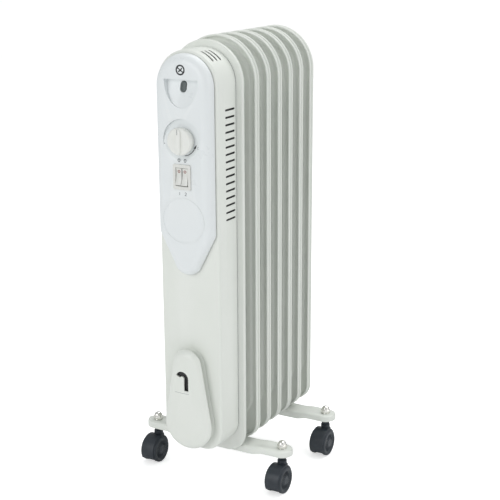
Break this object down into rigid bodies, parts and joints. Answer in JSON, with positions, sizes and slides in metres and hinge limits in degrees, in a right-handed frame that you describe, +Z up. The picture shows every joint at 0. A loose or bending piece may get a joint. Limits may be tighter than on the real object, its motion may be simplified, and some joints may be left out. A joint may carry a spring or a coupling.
{
  "type": "oil filled radiator heater",
  "caption": "Portable oil filled radiator heater: arched fins behind a control box with thermostat knob, rocker switches and cord store, on twin wheel castors.",
  "frame": {"origin": "on the floor, below the middle of the heater's overall box", "axes": "+Z up, -Y out of the control panel, +X to the right of someone facing the control panel"},
  "size_m": [0.235, 0.2672, 0.62],
  "materials": {
    "steel_white": "semi-gloss powder coat",
    "plastic_white": "smooth semi-gloss",
    "knob_white": "fine satin",
    "rocker_white": "smooth semi-gloss",
    "smoked": "glossy",
    "castor_black": "satin",
    "black": "matte",
    "chrome": "polished",
    "brass": "turned",
    "copper_sheath": "drawn",
    "zinc": "zinc plated"
  },
  "bodies": {
    "frame": {"cap_nut_front_left": "chrome", "cap_nut_front_right": "chrome", "cap_nut_rear_left": "chrome", "cap_nut_rear_right": "chrome", "castor_stud_front_left": "zinc", "castor_stud_front_right": "zinc", "castor_stud_rear_left": "zinc", "castor_stud_rear_right": "zinc", "control_box": "steel_white", "control_panel": "plastic_white", "cord_gland": "black", "cord_store_cover": "plastic_white", "cord_store_neck": "steel_white", "element_flange": "brass", "fin_1": "steel_white", "fin_2": "steel_white", "fin_3": "steel_white", "fin_4": "steel_white", "fin_5": "steel_white", "fin_6": "steel_white", "fin_7": "steel_white", "foot_front": "steel_white", "foot_rear": "steel_white", "header_plug_front": "steel_white", "header_plug_rear_lower": "steel_white", "header_plug_rear_upper": "steel_white", "heating_element": "copper_sheath", "hook_bolt_front": "zinc", "hook_bolt_rear": "zinc", "lead_element": "black", "lead_switch": "black", "lead_thermostat": "black", "pilot_lens": "smoked", "switch_housing": "plastic_white", "terminal_block": "plastic_white", "thermal_cutout": "black", "thermostat_body": "black", "wing_nut_front": "zinc", "wing_nut_rear": "zinc"},
    "knob": {"thermostat_knob": "knob_white", "thermostat_shaft": "brass"},
    "rocker_left": {"rocker_left": "rocker_white"},
    "rocker_right": {"rocker_right": "rocker_white"},
    "castor_front_left": {"castor_hood_front_left": "castor_black", "castor_axle_front_left": "zinc"},
    "wheel_front_left_a": {"wheel_front_left_a": "castor_black"},
    "wheel_front_left_b": {"wheel_front_left_b": "castor_black"},
    "castor_front_right": {"castor_hood_front_right": "castor_black", "castor_axle_front_right": "zinc"},
    "wheel_front_right_a": {"wheel_front_right_a": "castor_black"},
    "wheel_front_right_b": {"wheel_front_right_b": "castor_black"},
    "castor_rear_left": {"castor_hood_rear_left": "castor_black", "castor_axle_rear_left": "zinc"},
    "wheel_rear_left_a": {"wheel_rear_left_a": "castor_black"},
    "wheel_rear_left_b": {"wheel_rear_left_b": "castor_black"},
    "castor_rear_right": {"castor_hood_rear_right": "castor_black", "castor_axle_rear_right": "zinc"},
    "wheel_rear_right_a": {"wheel_rear_right_a": "castor_black"},
    "wheel_rear_right_b": {"wheel_rear_right_b": "castor_black"}
  },
  "joints": [
    {"name": "thermostat_turn", "type": "hinge", "parent": "frame", "child": "knob", "pos_m": [0, -0.11943, 0.4936], "axis": [0, 1, 0], "range_deg": [-98, 120]},
    {"name": "rocker_left_tilt", "type": "hinge", "parent": "frame", "child": "rocker_left", "pos_m": [-0.0045, -0.12163, 0.447], "axis": [1, 0, 0], "range_deg": [0, 18]},
    {"name": "rocker_right_tilt", "type": "hinge", "parent": "frame", "child": "rocker_right", "pos_m": [0.0045, -0.12163, 0.447], "axis": [1, 0, 0], "range_deg": [0, 18]},
    {"name": "castor_front_left_swivel", "type": "hinge", "parent": "frame", "child": "castor_front_left", "pos_m": [-0.1026, -0.04263, 0.0436], "axis": [0, 0, 1], "continuous": true},
    {"name": "wheel_front_left_a_roll", "type": "hinge", "parent": "castor_front_left", "child": "wheel_front_left_a", "pos_m": [-0.1119, -0.05363, 0.0188], "axis": [1, 0, 0], "continuous": true},
    {"name": "wheel_front_left_b_roll", "type": "hinge", "parent": "castor_front_left", "child": "wheel_front_left_b", "pos_m": [-0.0933, -0.05363, 0.0188], "axis": [1, 0, 0], "continuous": true},
    {"name": "castor_front_right_swivel", "type": "hinge", "parent": "frame", "child": "castor_front_right", "pos_m": [0.1026, -0.04263, 0.0436], "axis": [0, 0, 1], "continuous": true},
    {"name": "wheel_front_right_a_roll", "type": "hinge", "parent": "castor_front_right", "child": "wheel_front_right_a", "pos_m": [0.0933, -0.05363, 0.0188], "axis": [1, 0, 0], "continuous": true},
    {"name": "wheel_front_right_b_roll", "type": "hinge", "parent": "castor_front_right", "child": "wheel_front_right_b", "pos_m": [0.1119, -0.05363, 0.0188], "axis": [1, 0, 0], "continuous": true},
    {"name": "castor_rear_left_swivel", "type": "hinge", "parent": "frame", "child": "castor_rear_left", "pos_m": [-0.1026, 0.09467, 0.0436], "axis": [0, 0, 1], "continuous": true},
    {"name": "wheel_rear_left_a_roll", "type": "hinge", "parent": "castor_rear_left", "child": "wheel_rear_left_a", "pos_m": [-0.1119, 0.08367, 0.0188], "axis": [1, 0, 0], "continuous": true},
    {"name": "wheel_rear_left_b_roll", "type": "hinge", "parent": "castor_rear_left", "child": "wheel_rear_left_b", "pos_m": [-0.0933, 0.08367, 0.0188], "axis": [1, 0, 0], "continuous": true},
    {"name": "castor_rear_right_swivel", "type": "hinge", "parent": "frame", "child": "castor_rear_right", "pos_m": [0.1026, 0.09467, 0.0436], "axis": [0, 0, 1], "continuous": true},
    {"name": "wheel_rear_right_a_roll", "type": "hinge", "parent": "castor_rear_right", "child": "wheel_rear_right_a", "pos_m": [0.0933, 0.08367, 0.0188], "axis": [1, 0, 0], "continuous": true},
    {"name": "wheel_rear_right_b_roll", "type": "hinge", "parent": "castor_rear_right", "child": "wheel_rear_right_b", "pos_m": [0.1119, 0.08367, 0.0188], "axis": [1, 0, 0], "continuous": true}
  ]
}
